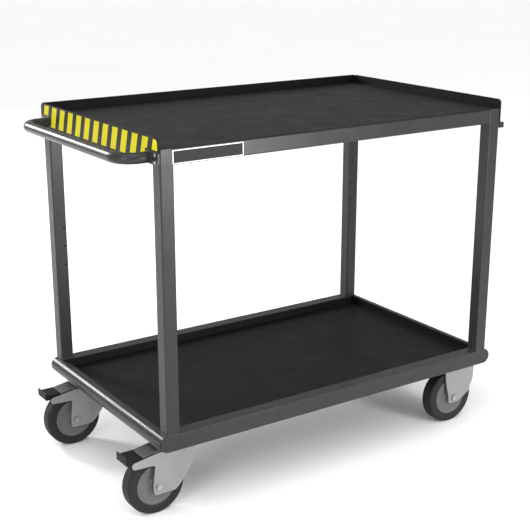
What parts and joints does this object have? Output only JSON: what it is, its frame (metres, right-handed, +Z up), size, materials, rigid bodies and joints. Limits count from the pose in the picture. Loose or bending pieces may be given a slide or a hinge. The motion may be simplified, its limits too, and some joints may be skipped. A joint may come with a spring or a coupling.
{
  "type": "flatbed platform truck",
  "caption": "Two-deck platform truck with a steel frame, flat upper deck, recessed lower deck, bent-tube push handle, braked swivel casters and fixed casters.",
  "frame": {"origin": "on the floor, under the middle of the truck's bounding box", "axes": "+X points forwards, away from the push handle; +Y to the left; +Z up"},
  "size_m": [1.4618, 0.806, 1.205],
  "materials": {
    "grey_frame_paint": "semi-gloss grey powder coat",
    "black_deck_paint": "matt black powder coat",
    "hazard_film": "satin film",
    "hazard_yellow": "satin film",
    "tyre_rubber": "matt elastic rubber",
    "hub_plastic": "satin moulded nylon",
    "pedal_plastic": "textured",
    "zinc_plated_steel": "zinc plated, satin",
    "dark_plated_steel": "plated, satin",
    "bright_steel": "zinc plated, bright"
  },
  "bodies": {
    "chassis": {"axle_front_left": "bright_steel", "axle_front_right": "bright_steel", "bumper_bar_front": "grey_frame_paint", "bumper_bar_rear": "grey_frame_paint", "caster_bolts": "bright_steel", "caster_nuts": "bright_steel", "caster_seats": "grey_frame_paint", "end_plate_front": "black_deck_paint", "end_plate_rear": "black_deck_paint", "fixed_fork_left": "zinc_plated_steel", "fixed_fork_right": "zinc_plated_steel", "handle_flanges": "grey_frame_paint", "handle_screws": "bright_steel", "handle_tube": "grey_frame_paint", "hazard_film": "hazard_film", "hazard_stripes": "hazard_yellow", "kingpin_left": "bright_steel", "kingpin_right": "bright_steel", "lower_cross_members": "grey_frame_paint", "lower_deck": "black_deck_paint", "lower_side_rail_left": "grey_frame_paint", "lower_side_rail_right": "grey_frame_paint", "post_front_left": "grey_frame_paint", "post_front_right": "grey_frame_paint", "post_rear_left": "grey_frame_paint", "post_rear_right": "grey_frame_paint", "side_lip_left": "black_deck_paint", "stop_lugs": "grey_frame_paint", "top_plate_left": "zinc_plated_steel", "top_plate_right": "zinc_plated_steel", "upper_cross_members": "grey_frame_paint", "upper_deck": "black_deck_paint", "upper_end_rail_front": "grey_frame_paint", "upper_end_rail_rear": "grey_frame_paint", "upper_side_rail_left": "grey_frame_paint", "upper_side_rail_right": "grey_frame_paint"},
    "swivel_right": {"swivel_fork_right": "zinc_plated_steel", "swivel_balls_right": "bright_steel", "brake_pin_right": "zinc_plated_steel", "axle_rear_right": "bright_steel"},
    "brake_right": {"brake_lever_right": "dark_plated_steel", "pedal_pad_right": "pedal_plastic"},
    "wheel_rear_right": {"tyre_rear_right": "tyre_rubber", "hub_rear_right": "hub_plastic", "wheel_bearings_rear_right": "bright_steel"},
    "wheel_front_right": {"tyre_front_right": "tyre_rubber", "hub_front_right": "hub_plastic", "wheel_bearings_front_right": "bright_steel"},
    "swivel_left": {"swivel_fork_left": "zinc_plated_steel", "swivel_balls_left": "bright_steel", "brake_pin_left": "zinc_plated_steel", "axle_rear_left": "bright_steel"},
    "brake_left": {"brake_lever_left": "dark_plated_steel", "pedal_pad_left": "pedal_plastic"},
    "wheel_rear_left": {"tyre_rear_left": "tyre_rubber", "hub_rear_left": "hub_plastic", "wheel_bearings_rear_left": "bright_steel"},
    "wheel_front_left": {"tyre_front_left": "tyre_rubber", "hub_front_left": "hub_plastic", "wheel_bearings_front_left": "bright_steel"}
  },
  "joints": [
    {"name": "swivel_spin_right", "type": "hinge", "parent": "chassis", "child": "swivel_right", "pos_m": [-0.55807, -0.301, 0.22], "axis": [0, 0, 1], "continuous": true},
    {"name": "brake_hinge_right", "type": "hinge", "parent": "swivel_right", "child": "brake_right", "pos_m": [-0.62208, -0.301, 0.207], "axis": [0, -1, 0], "range_deg": [0, 6]},
    {"name": "wheel_spin_rear_right", "type": "hinge", "parent": "swivel_right", "child": "wheel_rear_right", "pos_m": [-0.62008, -0.301, 0.1], "axis": [0, 1, 0], "continuous": true},
    {"name": "wheel_spin_front_right", "type": "hinge", "parent": "chassis", "child": "wheel_front_right", "pos_m": [0.62292, -0.301, 0.1], "axis": [0, 1, 0], "continuous": true},
    {"name": "swivel_spin_left", "type": "hinge", "parent": "chassis", "child": "swivel_left", "pos_m": [-0.55807, 0.301, 0.22], "axis": [0, 0, 1], "continuous": true},
    {"name": "brake_hinge_left", "type": "hinge", "parent": "swivel_left", "child": "brake_left", "pos_m": [-0.62208, 0.301, 0.207], "axis": [0, -1, 0], "range_deg": [0, 6]},
    {"name": "wheel_spin_rear_left", "type": "hinge", "parent": "swivel_left", "child": "wheel_rear_left", "pos_m": [-0.62008, 0.301, 0.1], "axis": [0, 1, 0], "continuous": true},
    {"name": "wheel_spin_front_left", "type": "hinge", "parent": "chassis", "child": "wheel_front_left", "pos_m": [0.62292, 0.301, 0.1], "axis": [0, 1, 0], "continuous": true}
  ]
}
